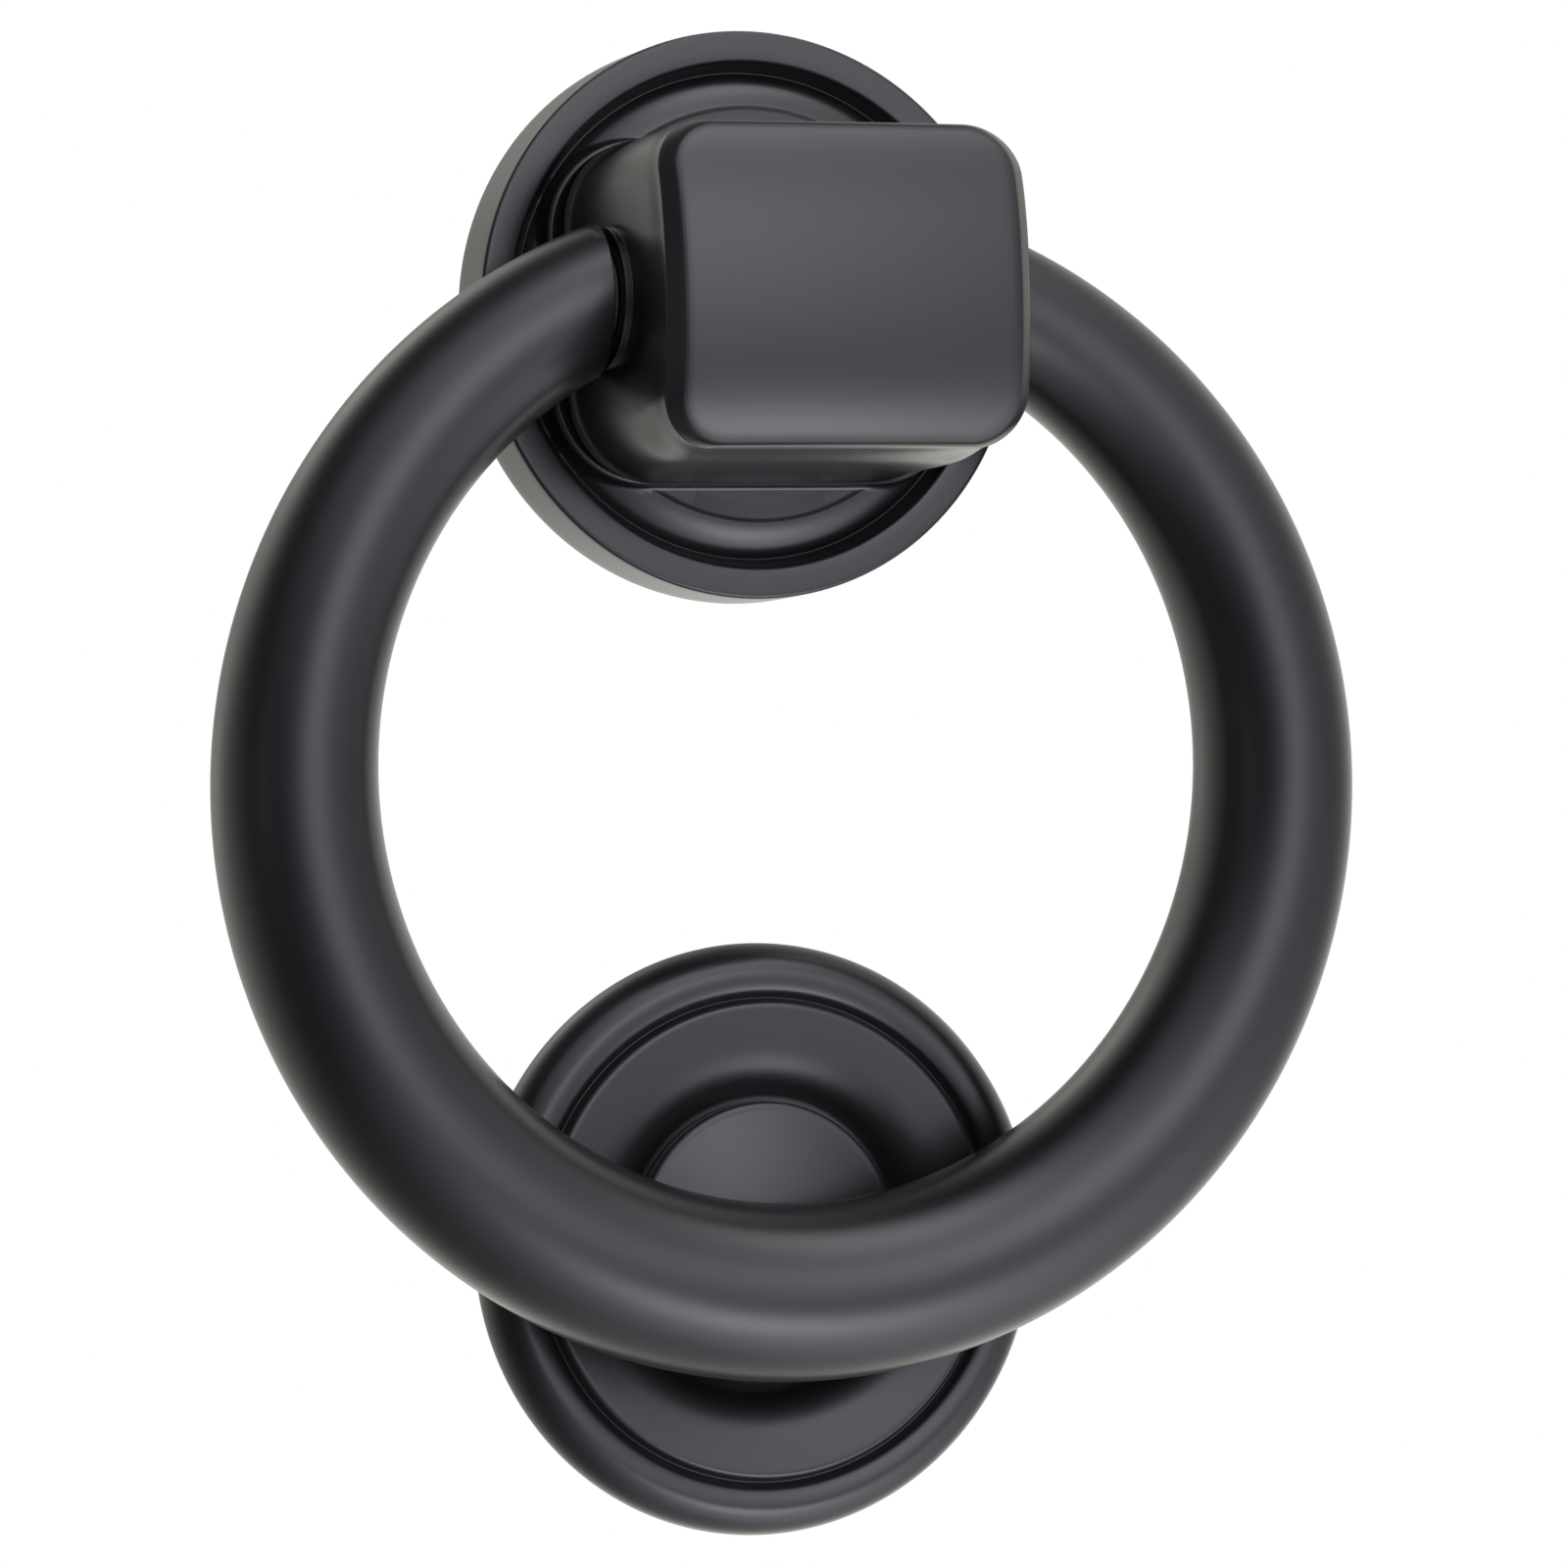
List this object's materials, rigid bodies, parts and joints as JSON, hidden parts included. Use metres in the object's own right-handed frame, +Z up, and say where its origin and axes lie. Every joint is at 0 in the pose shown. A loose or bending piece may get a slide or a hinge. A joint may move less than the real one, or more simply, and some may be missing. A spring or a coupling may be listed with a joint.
{
  "type": "ring door knocker",
  "caption": "Thick C-shaped ring hinged at a pillow-faced block on a round moulded rose, with a separate round strike rose and domed button below, both bolted through the door.",
  "frame": {"origin": "centre of the upper rose's back, on the outer face of the door", "axes": "+Z up the door, +Y into the door, +X to the right as seen from outside"},
  "size_m": [0.1206, 0.0927, 0.1527],
  "materials": {
    "black_powder_coat": "satin black powder coat with a very fine texture",
    "zinc_plated_steel": "bright zinc plate",
    "black_nylon": "moulded, matt",
    "black_rubber": "matt"
  },
  "bodies": {
    "fixed_parts": {"upper_rose": "black_powder_coat", "ring_block": "black_powder_coat", "strike_rose": "black_powder_coat", "strike_button": "black_powder_coat", "pivot_pin_left": "zinc_plated_steel", "pivot_pin_right": "zinc_plated_steel", "pivot_spring": "zinc_plated_steel", "block_screw_left": "zinc_plated_steel", "block_screw_right": "zinc_plated_steel", "anti_turn_pin": "zinc_plated_steel", "upper_stud": "zinc_plated_steel", "strike_stud": "zinc_plated_steel", "upper_washer": "zinc_plated_steel", "strike_washer": "zinc_plated_steel", "upper_dome_nut": "zinc_plated_steel", "strike_dome_nut": "zinc_plated_steel", "thrust_washer_left": "black_nylon", "thrust_washer_right": "black_nylon", "upper_gasket": "black_rubber", "strike_gasket": "black_rubber"},
    "ring": {"ring": "black_powder_coat", "pivot_bush_left": "black_nylon", "pivot_bush_right": "black_nylon"}
  },
  "joints": [
    {"name": "ring_swing", "type": "hinge", "parent": "fixed_parts", "child": "ring", "pos_m": [0, -0.0185, 0.0004], "axis": [-1, 0, 0], "range_deg": [0, 185]}
  ]
}
